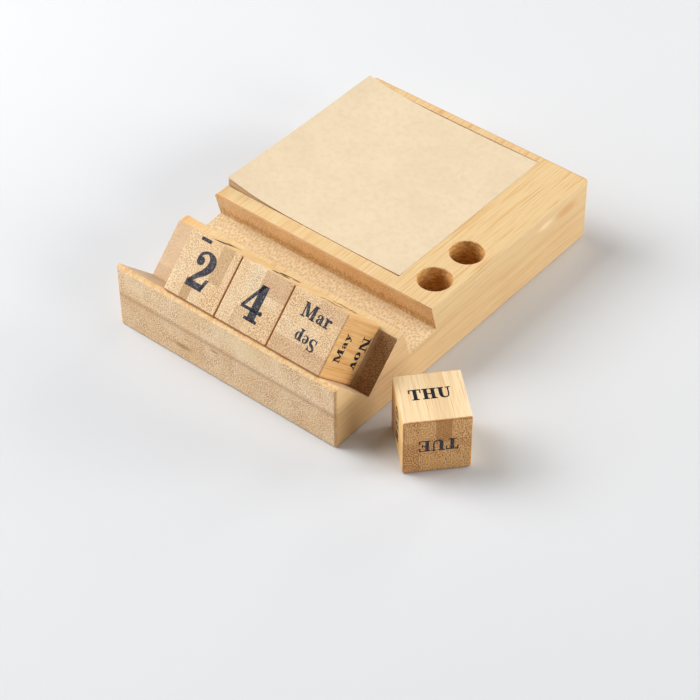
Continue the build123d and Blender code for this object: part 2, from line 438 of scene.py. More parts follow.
# The block's own measures, in millimetres.
board_low, board_high = (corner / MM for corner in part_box("lower_board"))
deck_low, deck_high = (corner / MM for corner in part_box("deck_left"))
FRONT, SIDE, GLUE_LINE, TOP = board_low.y, board_high.x, board_high.z, deck_high.z
PEN_HOLES = tuple(
    (mount["pos_m"][0] / MM, mount["pos_m"][1] / MM, mount["dims"]["r_mm"])
    for mount in frame["record"]["mounts"] if mount["kind"] == "bore"
)
FRONT_KNOTS = (
    ((-20.0, FRONT, 6.2), (6.0, 6.0, 1.5), 0.6, (156, 98, 54)),
    ((-4.5, FRONT, 12.5), (2.6, 6.0, 0.7), 0.6, (158, 96, 60)),
)
# On the upper board: a knot and a pale patch on the right side, a pale patch on the front, and warm
# spots at the left ends of the ridge and the deck.
UPPER_KNOTS = (
    ((SIDE, 59.0, 21.0), (6.0, 8.0, 2.8), 0.6, (202, 142, 78)),
    ((SIDE, 46.0, 21.5), (6.0, 6.0, 2.0), 0.6, (244, 222, 184)),
    ((8.0, FRONT, 20.5), (13.0, 6.0, 5.0), 0.45, (250, 226, 184)),
    ((-47.0, -37.5, TOP), (9.0, 3.5, 2.0), 0.35, (226, 160, 84)),
    ((-48.5, -19.5, TOP), (6.0, 3.0, 2.0), 0.3, (226, 164, 92)),
)
# How far the slot's floor runs back from the deck's front, and where it starts above the glue line.
SLOT_RUN, SLOT_FLOOR_START = 14.2, 2.3
PHONE_SLOT = Slot(deck_low.y - 0.2, deck_low.y + SLOT_RUN, GLUE_LINE + SLOT_FLOOR_START)
BLOCK_EDGE = Edge((0.0, 0.0, TOP / 2), (SIDE, -FRONT, TOP / 2), 0.8, 1.2, 5.0)
# face_tone darkens the long wood of the block's right side a little: painted shade.
BLOCK_LOOK = {"plane": GLUE_LINE, "bores": PEN_HOLES, "edge": BLOCK_EDGE, "slot": PHONE_SLOT,
              "end_variety": 0.2, "side_grain": 0.65, "face_tone": ("X", 1, (0.94, 0.94, 0.94))}

upper = bamboo("bamboo_upper", seed=4.0, variety=0.35, spots=UPPER_KNOTS, long_tone=(0.86, 0.865, 0.86),
               **BLOCK_LOOK)
lower = bamboo("bamboo_lower", seed=9.0, variety=0.5, spots=FRONT_KNOTS, long_tone=(0.85, 0.81, 0.76),
               end_tone=(0.92, 0.89, 0.87), **BLOCK_LOOK)
dress(nodes["lower_board"], lower)
for name in ("front_lip", "ridge_rail", "deck_left", "deck_right"):
    dress(nodes[name], upper)

CUBE = 23.3
PAST_FACE = 11.7
GROOVE_TURN = (45, 0, 0)
WEEKDAY_TURN = (0, 0, 47.9)


def middle(node):
    low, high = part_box(node)
    return (low + high) / 2


# Staves of a cube, in millimetres from its middle; PAST_FACE lies just outside its faces.
WHOLE = (-PAST_FACE, PAST_FACE)
STAVE_LIGHT, STAVE_DARK, STAVE_RED = colour(246, 224, 186), colour(196, 156, 108), colour(212, 170, 132)
# Painted shade: dark lines along the seams between the cubes and along their lower edge at the groove's front
# lip.
SEAM_SHADE = colour(146, 76, 30)
SEAM_SHADES = ((WHOLE, (-PAST_FACE, -11.2), SEAM_SHADE, 0.7), ((11.3, PAST_FACE), WHOLE, SEAM_SHADE, 0.7))
cubes = {
    "day_tens_cube": (GROOVE_TURN, "Z", 2.0, (
        ((-4.9, -1.0), (-PAST_FACE, -3.5), STAVE_DARK, 0.75),
        ((3.2, 8.4), (-2.0, PAST_FACE), STAVE_DARK, 0.55),
        ((-1.0, 3.2), (-PAST_FACE, -2.0), STAVE_LIGHT, 0.5),
        *SEAM_SHADES)),
    "day_units_cube": (GROOVE_TURN, "Z", 11.0, (
        ((-5.8, -0.6), (2.6, PAST_FACE), STAVE_LIGHT, 0.9),
        ((-0.6, PAST_FACE), (3.4, PAST_FACE), STAVE_RED, 0.6),
        ((-PAST_FACE, -5.8), (-PAST_FACE, 1.0), STAVE_LIGHT, 0.4),
        ((-5.8, 0.0), (-PAST_FACE, -4.0), STAVE_DARK, 0.35),
        *SEAM_SHADES)),
    "month_cube": (GROOVE_TURN, "Z turned", 7.0, (
        ((-PAST_FACE, -5.4), WHOLE, STAVE_RED, 0.5),
        ((-5.4, 0.6), (-PAST_FACE, 0.0), STAVE_LIGHT, 0.35),
        ((6.0, PAST_FACE), (0.0, PAST_FACE), STAVE_RED, 0.4),
        ((-PAST_FACE, -11.2), WHOLE, SEAM_SHADE, 0.7))),
    "weekday_cube": (WEEKDAY_TURN, "Y", 5.0, (
        ((-0.6, 4.8), (1.5, PAST_FACE), STAVE_DARK, 0.7),
        ((-PAST_FACE, -6.0), (-PAST_FACE, 2.0), STAVE_DARK, 0.4))),
}
# On the cubes in the groove the darker edges are partly painted shade in the seams between them.
CUBE_EDGE = Edge((0.0, 0.0, 0.0), (CUBE / 2, CUBE / 2, CUBE / 2), 0.75, 0.45, 2.0)
WEEKDAY_EDGE = CUBE_EDGE._replace(amount=0.9, width=0.8, side_scale=1.0)
GROOVE_LOOK = {
    "edge": CUBE_EDGE, "end_tone": (0.86, 0.85, 0.83), "long_tone": (0.88, 0.8, 0.66), "grain": 1.15,
    "face_tone": ("Y", 1, (1.05, 1.16, 1.35)),
}
WEEKDAY_LOOK = {
    "edge": WEEKDAY_EDGE, "end_tone": (0.84, 0.66, 0.44), "long_tone": (0.98, 1.05, 1.2),
    # Painted shade: the left face is darker and warmer.
    "spot_gain": 1.4, "spot_scale": 1.45, "face_tone": ("X", -1, (0.98, 0.84, 0.6)),
    # A darker brown patch over the far part of the left face, reaching the top's far left corner.
    "spots": (((-CUBE / 2, 9.5, -1.0), (4.0, 9.0, 18.0), 0.8, (160, 110, 62)),),
}
for node, (turn, fibre, seed, staves) in cubes.items():
    look = WEEKDAY_LOOK if node == "weekday_cube" else GROOVE_LOOK
    dress(nodes[node], bamboo("bamboo_" + node, centre=middle(node), turn=turn, fibre=fibre,
                              strip=(5.8, PAST_FACE), seed=seed, variety=0.5, staves=staves,
                              glue_line=0.12, **look))


# -------------------------------------------------------------- slab lettering
# Letter height is 1 and the baseline is 0. "d" is a bar cut level at both ends, "r" a rectangle,
# "b" a ball, "o" an oval ring and "c" a curve; curves are thick going up and down and thin going across,
# unless their points carry widths.
GLYPHS = {
    # The foot of a numeral on the neighbouring face.
    "-": (0.34, [("r", 0.05, 0.452, 0.34, 0.548), ("b", 0.05, 0.5, 0.048)]),
    "0": (0.68, [("o", 0.34, 0.5, 0.22, 0.455, 0.23, 0.08)]),
    "1": (0.6, [("d", 0.31, 0, 0.31, 1, 0.23), ("r", 0.06, 0, 0.56, 0.085),
                ("c", [(0.29, 0.95, 0.1), (0.2, 0.86, 0.1), (0.05, 0.82, 0.09)])]),
    "2": (0.68, [("b", 0.17, 0.7, 0.12),
                 ("c", [(0.1, 0.7, 0.1), (0.13, 0.87, 0.09), (0.31, 0.96, 0.08), (0.49, 0.86, 0.19),
                        (0.52, 0.68, 0.23), (0.43, 0.5, 0.19), (0.24, 0.31, 0.13), (0.07, 0.1, 0.1)]),
                 ("r", 0.03, 0.0, 0.56, 0.175), ("d", 0.5, 0.0, 0.6, 0.34, 0.1)]),
    "3": (0.68, [("b", 0.17, 0.76, 0.115), ("b", 0.16, 0.24, 0.12),
                 ("c", [(0.1, 0.77, 0.08), (0.17, 0.91, 0.08), (0.32, 0.965, 0.08), (0.47, 0.88, 0.17),
                        (0.48, 0.7, 0.2), (0.38, 0.56, 0.1), (0.24, 0.53, 0.07)]),
                 ("c", [(0.24, 0.53, 0.07), (0.42, 0.49, 0.13), (0.52, 0.33, 0.23), (0.47, 0.12, 0.2),
                        (0.32, 0.035, 0.08), (0.17, 0.07, 0.08), (0.09, 0.22, 0.09)])]),
    "4": (0.74, [("d", 0.47, 0, 0.47, 1, 0.24), ("d", 0.07, 0.3, 0.46, 1, 0.11),
                 ("r", 0.03, 0.25, 0.7, 0.335), ("r", 0.26, 0, 0.68, 0.085), ("b", 0.665, 0.3, 0.06)]),
    "5": (0.66, [("r", 0.12, 0.82, 0.58, 1.0), ("d", 0.12, 0.5, 0.14, 0.95, 0.09), ("b", 0.16, 0.24, 0.12),
                 ("c", [(0.12, 0.53, 0.07), (0.29, 0.63, 0.08), (0.47, 0.53, 0.19), (0.51, 0.32, 0.23),
                        (0.45, 0.12, 0.19), (0.3, 0.035, 0.08), (0.15, 0.08, 0.08), (0.09, 0.22, 0.09)])]),
    "6": (0.68, [("o", 0.35, 0.31, 0.2, 0.27, 0.22, 0.08), ("b", 0.5, 0.77, 0.115),
                 ("c", [(0.58, 0.78, 0.08), (0.5, 0.92, 0.08), (0.37, 0.965, 0.08), (0.22, 0.85, 0.16),
                        (0.15, 0.6, 0.22), (0.15, 0.35, 0.22)])]),
    "7": (0.66, [("r", 0.06, 0.84, 0.62, 1.0), ("r", 0.06, 0.68, 0.13, 1.0),
                 ("c", [(0.58, 0.9, 0.1), (0.44, 0.62, 0.17), (0.35, 0.32, 0.23), (0.33, 0.0, 0.24)])]),
    "8": (0.66, [("o", 0.33, 0.755, 0.16, 0.205, 0.2, 0.08), ("o", 0.33, 0.285, 0.2, 0.25, 0.22, 0.08)]),
    "A": (0.98, [("d", 0.2, 0, 0.46, 1, 0.11), ("d", 0.75, 0, 0.49, 1, 0.26), ("r", 0.28, 0.29, 0.68, 0.38),
                 ("r", 0.03, 0, 0.38, 0.1), ("r", 0.55, 0, 0.96, 0.1)]),
    "D": (0.92, [("d", 0.25, 0, 0.25, 1, 0.25), ("r", 0.02, 0, 0.42, 0.1), ("r", 0.02, 0.9, 0.42, 1),
                 ("c", [(0.3, 0.95, 0.1), (0.52, 0.93, 0.13), (0.72, 0.72, 0.24), (0.74, 0.5, 0.26),
                        (0.72, 0.28, 0.24), (0.52, 0.07, 0.13), (0.3, 0.05, 0.1)])]),
    "E": (0.86, [("d", 0.25, 0, 0.25, 1, 0.25), ("r", 0.02, 0, 0.8, 0.1), ("r", 0.02, 0.9, 0.78, 1),
                 ("r", 0.3, 0.45, 0.6, 0.54), ("r", 0.7, 0, 0.8, 0.32), ("r", 0.68, 0.68, 0.78, 1),
                 ("r", 0.52, 0.34, 0.6, 0.66)]),
    "F": (0.82, [("d", 0.25, 0, 0.25, 1, 0.25), ("r", 0.02, 0, 0.5, 0.1), ("r", 0.02, 0.9, 0.76, 1),
                 ("r", 0.3, 0.45, 0.6, 0.54), ("r", 0.66, 0.66, 0.76, 1), ("r", 0.52, 0.34, 0.6, 0.66)]),
    "H": (1.02, [("d", 0.25, 0, 0.25, 1, 0.25), ("d", 0.75, 0, 0.75, 1, 0.25), ("r", 0.02, 0, 0.47, 0.1),
                 ("r", 0.02, 0.9, 0.47, 1), ("r", 0.53, 0, 0.98, 0.1), ("r", 0.53, 0.9, 0.98, 1),
                 ("r", 0.3, 0.45, 0.7, 0.55)]),
    "I": (0.52, [("d", 0.25, 0, 0.25, 1, 0.25), ("r", 0.02, 0, 0.48, 0.1), ("r", 0.02, 0.9, 0.48, 1)]),
    "J": (0.7, [("d", 0.45, 0.3, 0.45, 1, 0.24), ("r", 0.24, 0.9, 0.68, 1), ("b", 0.14, 0.27, 0.12),
                ("c", [(0.45, 0.34, 0.24), (0.42, 0.12, 0.18), (0.27, 0.04, 0.08), (0.13, 0.1, 0.09),
                       (0.07, 0.24, 0.09)])]),
    "M": (1.16, [("d", 0.18, 0, 0.18, 1, 0.1), ("d", 0.93, 0, 0.93, 1, 0.25),
                 ("d", 0.24, 1, 0.57, 0.1, 0.24), ("d", 0.58, 0.1, 0.88, 1, 0.09),
                 ("r", 0.02, 0, 0.35, 0.1), ("r", 0.02, 0.9, 0.3, 1), ("r", 0.71, 0, 1.14, 0.1),
                 ("r", 0.85, 0.9, 1.14, 1)]),
    "N": (1.02, [("d", 0.18, 0, 0.18, 1, 0.1), ("d", 0.82, 0, 0.82, 1, 0.1), ("d", 0.25, 1, 0.77, 0, 0.28),
                 ("r", 0.02, 0, 0.36, 0.1), ("r", 0.02, 0.9, 0.3, 1), ("r", 0.65, 0.9, 0.99, 1)]),
    "O": (0.96, [("o", 0.48, 0.5, 0.33, 0.45, 0.26, 0.1)]),
    "R": (0.95, [("d", 0.25, 0, 0.25, 1, 0.25), ("r", 0.02, 0, 0.48, 0.1), ("r", 0.02, 0.9, 0.42, 1),
                 ("c", [(0.3, 0.95, 0.1), (0.5, 0.94, 0.13), (0.65, 0.82, 0.22), (0.65, 0.68, 0.22),
                        (0.5, 0.54, 0.11), (0.3, 0.52, 0.09)]),
                 ("c", [(0.44, 0.52, 0.1), (0.61, 0.42, 0.2), (0.66, 0.2, 0.24), (0.76, 0.06, 0.12),
                        (0.92, 0.09, 0.06)])]),
    "S": (0.78, [("r", 0.62, 0.66, 0.7, 1.0), ("r", 0.07, 0, 0.15, 0.34),
                 ("c", [(0.66, 0.72, 0.07), (0.56, 0.9, 0.09), (0.38, 0.955, 0.1), (0.2, 0.87, 0.18),
                        (0.19, 0.7, 0.2), (0.37, 0.55, 0.22), (0.57, 0.41, 0.22), (0.61, 0.22, 0.2),
                        (0.47, 0.06, 0.12), (0.3, 0.045, 0.1), (0.16, 0.13, 0.09), (0.11, 0.28, 0.07)])]),
    "T": (0.92, [("d", 0.46, 0, 0.46, 1, 0.25), ("r", 0.22, 0, 0.7, 0.1), ("r", 0.04, 0.9, 0.88, 1),
                 ("r", 0.04, 0.64, 0.13, 1), ("r", 0.79, 0.64, 0.88, 1)]),
    "U": (0.96, [("d", 0.25, 0.35, 0.25, 1, 0.25), ("d", 0.76, 0.35, 0.76, 1, 0.1),
                 ("r", 0.02, 0.9, 0.47, 1), ("r", 0.61, 0.9, 0.93, 1),
                 ("c", [(0.25, 0.4, 0.25), (0.3, 0.15, 0.21), (0.5, 0.05, 0.11), (0.7, 0.14, 0.1),
                        (0.76, 0.4, 0.1)])]),
    "W": (1.24, [("d", 0.22, 1, 0.43, 0, 0.25), ("d", 0.45, 0, 0.64, 1, 0.09),
                 ("d", 0.64, 1, 0.85, 0, 0.25), ("d", 0.87, 0, 1.07, 1, 0.09), ("r", 0.02, 0.9, 0.43, 1),
                 ("r", 0.92, 0.9, 1.22, 1), ("r", 0.48, 0.9, 0.83, 1)]),
    "a": (0.66, [("b", 0.16, 0.47, 0.085), ("d", 0.45, 0.08, 0.45, 0.48, 0.21), ("r", 0.4, 0, 0.63, 0.09),
                 ("c", [(0.11, 0.48, 0.07), (0.19, 0.6, 0.07), (0.32, 0.62, 0.09), (0.43, 0.53, 0.19),
                        (0.45, 0.4, 0.21)]),
                 ("c", [(0.42, 0.38, 0.07), (0.25, 0.34, 0.1), (0.16, 0.2, 0.18), (0.24, 0.06, 0.1),
                        (0.4, 0.14, 0.08)])]),
    "b": (0.72, [("d", 0.22, 0, 0.22, 1, 0.21), ("r", 0.02, 0.91, 0.3, 1),
                 ("o", 0.42, 0.32, 0.18, 0.28, 0.2, 0.08)]),
    "c": (0.6, [("b", 0.45, 0.47, 0.09),
                ("c", [(0.52, 0.48, 0.07), (0.43, 0.6, 0.07), (0.3, 0.61, 0.09), (0.17, 0.48, 0.18),
                       (0.15, 0.32, 0.21), (0.18, 0.15, 0.18), (0.32, 0.04, 0.09), (0.46, 0.08, 0.07),
                       (0.54, 0.2, 0.06)])]),
    "e": (0.62, [("r", 0.15, 0.3, 0.52, 0.375),
                 ("c", [(0.5, 0.34, 0.14), (0.46, 0.54, 0.14), (0.32, 0.615, 0.08), (0.18, 0.5, 0.18),
                        (0.14, 0.32, 0.21), (0.19, 0.14, 0.18), (0.33, 0.04, 0.09), (0.46, 0.08, 0.07),
                        (0.55, 0.19, 0.06)])]),
    "g": (0.62, [("o", 0.28, 0.43, 0.14, 0.18, 0.16, 0.07), ("r", 0.38, 0.56, 0.6, 0.65),
                 ("c", [(0.2, 0.26, 0.07), (0.12, 0.16, 0.1), (0.26, 0.08, 0.14), (0.44, 0.04, 0.15),
                        (0.53, -0.07, 0.12), (0.44, -0.22, 0.08), (0.24, -0.26, 0.08), (0.1, -0.19, 0.08),
                        (0.1, -0.05, 0.07), (0.2, 0.04, 0.06)])]),
    "l": (0.44, [("d", 0.22, 0, 0.22, 1, 0.21), ("r", 0.02, 0, 0.42, 0.09), ("r", 0.02, 0.91, 0.22, 1)]),
    "n": (0.78, [("d", 0.2, 0, 0.2, 0.64, 0.21), ("r", 0.01, 0, 0.38, 0.09), ("r", 0.01, 0.56, 0.2, 0.65),
                 ("r", 0.43, 0, 0.76, 0.09),
                 ("c", [(0.28, 0.45, 0.07), (0.38, 0.58, 0.09), (0.5, 0.56, 0.16), (0.57, 0.4, 0.21),
                        (0.57, 0.04, 0.21)])]),
    "o": (0.64, [("o", 0.32, 0.325, 0.19, 0.285, 0.21, 0.08)]),
    "p": (0.72, [("d", 0.2, -0.3, 0.2, 0.64, 0.21), ("r", 0.01, -0.3, 0.4, -0.21),
                 ("r", 0.01, 0.56, 0.2, 0.65), ("o", 0.42, 0.325, 0.17, 0.285, 0.2, 0.08)]),
    "r": (0.6, [("d", 0.2, 0, 0.2, 0.64, 0.21), ("r", 0.01, 0, 0.42, 0.09), ("r", 0.01, 0.56, 0.2, 0.65),
                ("b", 0.47, 0.52, 0.095),
                ("c", [(0.27, 0.38, 0.07), (0.34, 0.54, 0.09), (0.48, 0.6, 0.08)])]),
    "t": (0.48, [("d", 0.21, 0.12, 0.21, 0.86, 0.19), ("r", 0.03, 0.56, 0.43, 0.65),
                 ("c", [(0.21, 0.2, 0.19), (0.25, 0.08, 0.13), (0.36, 0.05, 0.08), (0.46, 0.14, 0.06)])]),
    "u": (0.76, [("d", 0.2, 0.2, 0.2, 0.64, 0.21), ("r", 0.01, 0.56, 0.2, 0.65),
                 ("d", 0.55, 0, 0.55, 0.64, 0.21), ("r", 0.37, 0.56, 0.55, 0.65),
                 ("r", 0.55, 0, 0.74, 0.09),
                 ("c", [(0.2, 0.24, 0.21), (0.24, 0.1, 0.16), (0.35, 0.05, 0.09), (0.5, 0.16, 0.07)])]),
    "v": (0.64, [("d", 0.15, 0.64, 0.33, 0, 0.22), ("d", 0.34, 0, 0.51, 0.64, 0.09),
                 ("r", 0, 0.56, 0.34, 0.65), ("r", 0.37, 0.56, 0.64, 0.65)]),
    "y": (0.64, [("d", 0.15, 0.64, 0.34, 0.04, 0.22), ("d", 0.2, -0.24, 0.51, 0.64, 0.09),
                 ("b", 0.14, -0.21, 0.09), ("r", 0, 0.56, 0.34, 0.65), ("r", 0.37, 0.56, 0.64, 0.65)]),
}


BALL_SIDES, RING_STEPS = 20, 40


def smooth(points, steps=7):
    """Points along a Catmull-Rom curve, widths included."""
    padded = [points[0], *points, points[-1]]
    result = []
    for p0, p1, p2, p3 in zip(padded, padded[1:], padded[2:], padded[3:]):
        for i in range(steps):
            t = i / steps
            result.append(tuple(
                0.5 * (2 * b + (c - a) * t + (2 * a - 5 * b + 4 * c - d) * t * t
                       + (3 * b - a - 3 * c + d) * t ** 3)
                for a, b, c, d in zip(p0, p1, p2, p3)
            ))
    result.append(points[-1])
    return result


def ribbon(points):
    """Quads either side of a curve whose points carry widths."""
    sides = []
    for i, (x, y, width) in enumerate(points):
        before, after = points[max(i - 1, 0)], points[min(i + 1, len(points) - 1)]
        direction = Vector((after[0] - before[0], after[1] - before[1])).normalized()
        step = Vector((-direction.y, direction.x)) * width / 2
        sides.append(((x + step.x, y + step.y), (x - step.x, y - step.y)))
    return [[a[0], a[1], b[1], b[0]] for a, b in zip(sides, sides[1:])]


def shapes(mark):
    """Outline polygons of one mark of a glyph."""
    kind, values = mark[0], mark[1:]
    if kind == "r":
        x0, y0, x1, y1 = values
        return [[(x0, y0), (x1, y0), (x1, y1), (x0, y1)]]
    if kind == "d":
        x0, y0, x1, y1, width = values
        half = width / 2
        return [[(x0 - half, y0), (x0 + half, y0), (x1 + half, y1), (x1 - half, y1)]]
    if kind == "b":
        x, y, radius = values
        turns = [math.tau * i / BALL_SIDES for i in range(BALL_SIDES)]
        return [[(x + radius * math.cos(a), y + radius * math.sin(a)) for a in turns]]
    if kind == "o":
        x, y, rx, ry, thick, thin = values
        points = []
        for i in range(RING_STEPS + 1):
            a = math.tau * i / RING_STEPS
            width = thin + (thick - thin) * abs(math.cos(a)) ** 1.4
            points.append((x + rx * math.cos(a), y + ry * math.sin(a), width))
        return ribbon(points)
    return ribbon(smooth(values[0]))


def letter_polygons(text, height, centre, turned):
    """Polygons of a line of text in face coordinates, in millimetres."""
    width = sum(GLYPHS[c][0] for c in text)
    turn = math.radians(turned)
    cursor = -width / 2
    for character in text:
        advance, marks = GLYPHS[character]
        for mark in marks:
            for polygon in shapes(mark):
                placed = []
                for x, y in polygon:
                    u, v = (x + cursor) * height, (y - 0.5) * height
                    placed.append((
                        centre[0] + u * math.cos(turn) - v * math.sin(turn),
                        centre[1] + u * math.sin(turn) + v * math.cos(turn),
                    ))
                yield placed
        cursor += advance


PRINT_PROUD = 0.02

# Face of a cube: outward direction and which way is up, in the cube's own frame.
FACES = {
    "top": ((0, 0, 1), (0, 1, 0)),
    "back": ((0, 1, 0), (0, 0, -1)),
    "front": ((0, -1, 0), (0, 0, 1)),
    "under": ((0, 0, -1), (0, -1, 0)),
    "right": ((1, 0, 0), (0, 0, 1)),
    "left": ((-1, 0, 0), (0, 0, 1)),
}


def ink_material(name, wear, deep, faded):
    """Printing ink, worn off in specks. wear is how far the wood shows through."""
    g = Graph(name)
    texture = g.node("ShaderNodeTexCoord")
    where = g.millimetres(texture.outputs["Object"])
    patch = g.noise(where, 2.4, 3.0, 0.6)
    grain = g.noise(where, 1.5, 2.0, 0.9)
    worn = g.math("MULTIPLY", g.ramp(grain, 0.5, 0.62), g.ramp(patch, 0.3, 0.62))
    tone = g.mix(g.ramp(patch, 0.3, 0.7), deep, faded)
    g.put(g.shader.inputs["Base Color"], g.mix(g.math("MULTIPLY", worn, wear), tone, colour(150, 130, 114)))
    g.put(g.shader.inputs["Roughness"], g.ramp(patch, 0.2, 0.8, 0.55, 0.75))
    g.shader.inputs["Specular IOR Level"].default_value = 0.25
    g.bump(g.math("MULTIPLY", worn, -1.0), 0.3, 0.00005)
    return g.material


INK_ON_ENDS = ink_material("ink_on_ends", 0.65, colour(26, 29, 40), colour(56, 60, 74))
INK_ON_SIDES = ink_material("ink_on_sides", 0.12, colour(15, 16, 24), colour(30, 33, 46))


def print_cube(node, body, turn, ends, prints):
    """One mesh with everything printed on a cube. prints maps a face to (text, height, centre, turned)."""
    centre = middle(node)
    spin = Euler([math.radians(a) for a in turn]).to_matrix()
    mesh = bmesh.new()
    for face, lines in prints.items():
        outward, up = (Vector(v) for v in FACES[face])
        right = up.cross(outward)
        for text, height, place, turned in lines:
            for polygon in letter_polygons(text, height, place, turned):
                corners = []
                for u, v in polygon:
                    point = right * u + up * v + outward * (CUBE / 2 + PRINT_PROUD)
                    corners.append(mesh.verts.new(centre + spin @ (point * MM)))
                made = mesh.faces.new(corners)
                made.normal_update()
                if made.normal.dot(spin @ outward) < 0:
                    made.normal_flip()
                made.material_index = int(face not in ends)
    data = bpy.data.meshes.new("ink_" + body)
    mesh.to_mesh(data)
    mesh.free()
    data.materials.append(INK_ON_ENDS)
    data.materials.append(INK_ON_SIDES)
    piece = bpy.data.objects.new("ink_" + body, data)
    scene.collection.objects.link(piece)
    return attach(piece, body)


DIGIT_HEIGHT = 13.4


def digit(value, offset=(0.0, 0.0), turned=0):
    return [(value, DIGIT_HEIGHT, offset, turned)]


def pair(first, second, turned=0, heights=(4.9, 4.6), gaps=(5.7, 5.7), drift=0.0):
    """Two words head to head, the second upside down."""
    turn = math.radians(turned)
    up = Vector((-math.sin(turn), math.cos(turn)))
    along = Vector((math.cos(turn), math.sin(turn))) * drift
    return [
        (first, heights[0], along + up * gaps[0], turned),
        (second, heights[1], along - up * gaps[1], turned + 180),
    ]


TOP_AND_UNDER, FRONT_AND_BACK = ("top", "under"), ("front", "back")
print_cube("day_tens_cube", "day_tens", GROOVE_TURN, TOP_AND_UNDER, {
    "top": [("2", 13.8, (-0.4, 0.4), 0)] + digit("-", (-4.2, 10.38)),
    "back": digit("1", (-2.7, -2.0), 180),
    "front": digit("0"),
    "under": digit("6"),
    "right": digit("7", turned=90),
    "left": digit("8", turned=-90),
})
print_cube("day_units_cube", "day_units", GROOVE_TURN, TOP_AND_UNDER, {
    "top": digit("4", (0.4, -0.3)),
    "back": digit("3", turned=180),
    "front": digit("5"),
    "under": digit("0"),
    "right": digit("1", turned=90),
    "left": digit("2", turned=-90),
})
print_cube("month_cube", "month", GROOVE_TURN, TOP_AND_UNDER, {
    "top": pair("Mar", "Sep", heights=(5.3, 4.5), gaps=(6.1, 3.7), drift=1.1),
    "back": pair("Jan", "Jul"),
    "front": pair("Feb", "Aug"),
    "under": pair("Apr", "Oct"),
    "right": pair("May", "Nov", heights=(4.45, 5.4), gaps=(5.7, 7.4)),
    "left": pair("Jun", "Dec"),
})
print_cube("weekday_cube", "weekday", WEEKDAY_TURN, FRONT_AND_BACK, {
    "top": [("THU", 5.0, (-0.6, 1.35), 0)],
    "front": [("TUE", 5.05, (0.35, 0.35), 180)],
    "back": [("FRI", 5.2, (0.2, 0.0), 0)],
    "under": [("MON", 5.2, (0.0, 0.0), 0)],
    "left": [("WED", 5.2, (0.0, 0.0), 90)],
    "right": pair("SAT", "SUN"),
})


# -------------------------------------------------------------------- memo pad
def kraft(name, base, dark, edges):
    """Uncoated kraft paper: soft clouds, short fibres and, on a stack's sides, the lines of its sheets."""
    g = Graph(name)
    texture = g.node("ShaderNodeTexCoord")
    where = g.millimetres(texture.outputs["Object"])
    clouds = g.noise(where, 0.06, 3.0, 0.55)
    mottle = g.noise(where, 0.4, 4.0, 0.7)
    fibre = g.noise(g.vector("MULTIPLY", where, (1, 0.45, 1)), 3.2, 3.0, 0.7)
    paper = g.mix(g.ramp(clouds, 0.3, 0.7, 0.0, 0.35), base, dark)
    paper = g.mix(g.ramp(mottle, 0.4, 0.7, 0.0, 0.5), paper, dark)
    paper = g.mix(g.ramp(fibre, 0.6, 0.8, 0.0, 0.3), paper, colour(196, 164, 122))
    if edges:
        side = g.math("SUBTRACT", 1.0, g.math("ABSOLUTE", g.split(texture.outputs["Normal"])[2]))
        line = g.noise(g.vector("MULTIPLY", where, (0.04, 0.04, 7.0)), 1.0, 2.0, 0.8)
        sheet_lines = g.product(g.ramp(line, 0.42, 0.62, 0.0, 0.45), side)
        paper = g.mix(sheet_lines, paper, colour(204, 166, 112))
        paper = g.mix(g.product(side, 0.55), paper, colour(200, 150, 92))
    g.put(g.shader.inputs["Base Color"], paper)
    g.put(g.shader.inputs["Roughness"], g.ramp(mottle, 0.3, 0.7, 0.82, 0.95))
    g.shader.inputs["Specular IOR Level"].default_value = 0.2
    g.bump(g.math("ADD", fibre, g.math("MULTIPLY", mottle, 0.7)), 0.25, 0.00008)
    return g.material


PAPER = kraft("kraft_paper", colour(226, 206, 175), colour(212, 189, 155), True)
TOP_PAPER = kraft("kraft_top", colour(222, 203, 173), colour(209, 188, 156), False)
# The pad's top face above the deck: (distance from the left edge, height), in millimetres.
SWELL = [(0.0, 2.9), (6.0, 1.85), (13.0, 0.9), (22.0, 0.25), (34.0, -0.1), (56.0, -0.2), (70.0, -0.12),
         (79.5, 0.06)]
RISE = smooth(SWELL, 12)


def rise(along):
    """Height of the pad's top face above the deck, along from the left edge, all in mm."""
    for (x0, z0), (x1, z1) in zip(RISE, RISE[1:]):
        if along <= x1:
            return z0 + (z1 - z0) * (along - x0) / max(x1 - x0, 1e-6)
    return RISE[-1][1]


note_low, note_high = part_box("top_note")
stack_low, stack_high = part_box("memo_stack")
deck_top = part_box("deck_left")[1].z


def leaf(mesh, x_range, y_range, surface, thick, columns, rows, slip=lambda x: 0.0):
    """A thin closed sheet. surface(x, y) gives its upper face, slip(x) shifts it along y."""
    grid = []
    for i in range(columns + 1):
        x = x_range[0] + (x_range[1] - x_range[0]) * i / columns
        line = []
        for j in range(rows + 1):
            y = y_range[0] + (y_range[1] - y_range[0]) * j / rows
            z = surface(x, y)
            y += slip(x)
            line.append((mesh.verts.new((x, y, z)), mesh.verts.new((x, y, z - thick))))
        grid.append(line)
    for i in range(columns):
        for j in range(rows):
            a, b, c, d = grid[i][j], grid[i + 1][j], grid[i + 1][j + 1], grid[i][j + 1]
            mesh.faces.new((a[0], b[0], c[0], d[0]))
            mesh.faces.new((d[1], c[1], b[1], a[1]))
    rim = [grid[i][0] for i in range(columns + 1)] + [grid[columns][j] for j in range(1, rows + 1)]
    rim += [grid[i][rows] for i in range(columns - 1, -1, -1)] + [grid[0][j] for j in range(rows - 1, 0, -1)]
    for a, b in zip(rim, rim[1:] + rim[:1]):
        wall = mesh.faces.new((a[0], a[1], b[1], b[0]))
        for line in wall.edges:
            line.smooth = False


